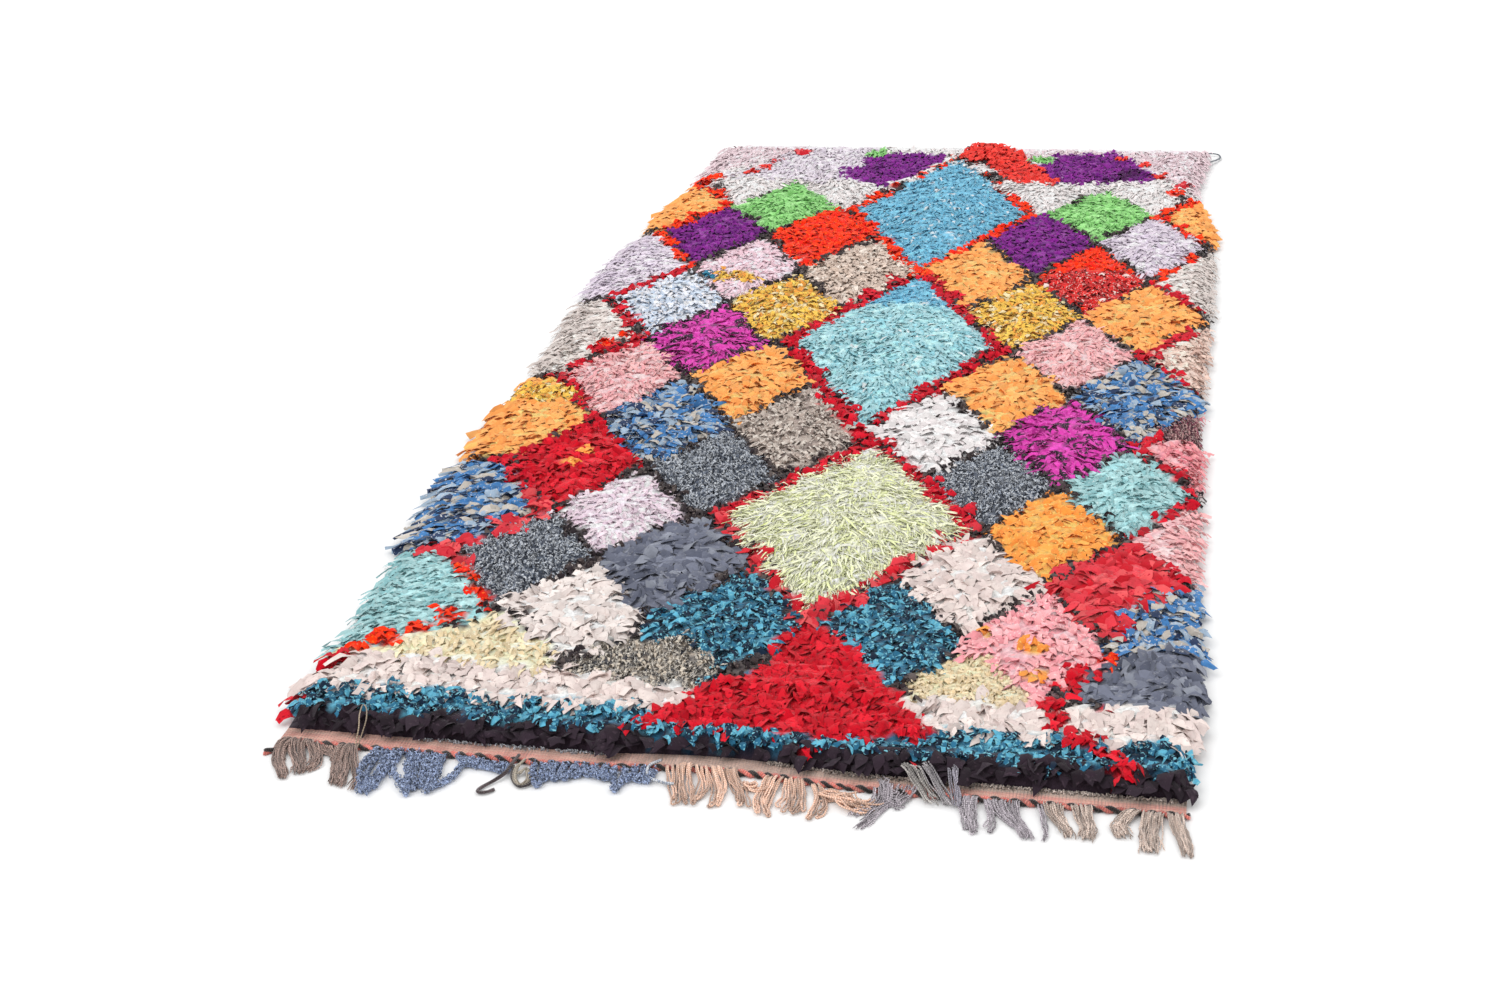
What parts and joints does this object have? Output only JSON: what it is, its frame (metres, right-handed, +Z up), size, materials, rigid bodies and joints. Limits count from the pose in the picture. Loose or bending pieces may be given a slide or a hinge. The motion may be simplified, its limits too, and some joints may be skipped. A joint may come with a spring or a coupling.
{
  "type": "boucherouite rug",
  "caption": "Long hand-knotted rag rug with a slanted far end, a thick shaggy pile in a diamond lattice, and a twined cord and loose warp fringe along one end.",
  "frame": {"origin": "middle of the weave's flat underside, on the floor", "axes": "+Y along the rug's length, away from its fringed end; +X across it, to the right seen from the fringed end; +Z up out of the pile"},
  "size_m": [1.2553, 2.7189, 0.0493],
  "materials": {
    "ground_weave": "matte flat weave of wool and cotton wefts, salmon and beige, dark between the pile",
    "rag_pile": "shaggy knotted rags of torn jersey, print cotton and yarn in many colours",
    "twined_edge": "two-strand twined cord in black and salmon wool",
    "fringe_brown": "loose brown-grey warp yarn",
    "fringe_blue": "loose denim-blue warp yarn, partly in uncut loops",
    "fringe_tan": "loose tan warp yarn in short bundles",
    "fringe_lilac": "loose lilac-grey warp yarn",
    "fringe_beige": "loose beige warp yarn in short bundles"
  },
  "bodies": {
    "root": {"ground_weave": "ground_weave", "rag_pile": "rag_pile", "twined_edge": "twined_edge", "fringe_brown": "fringe_brown", "fringe_blue": "fringe_blue", "fringe_tan": "fringe_tan", "fringe_lilac": "fringe_lilac", "fringe_beige": "fringe_beige"}
  },
  "joints": []
}
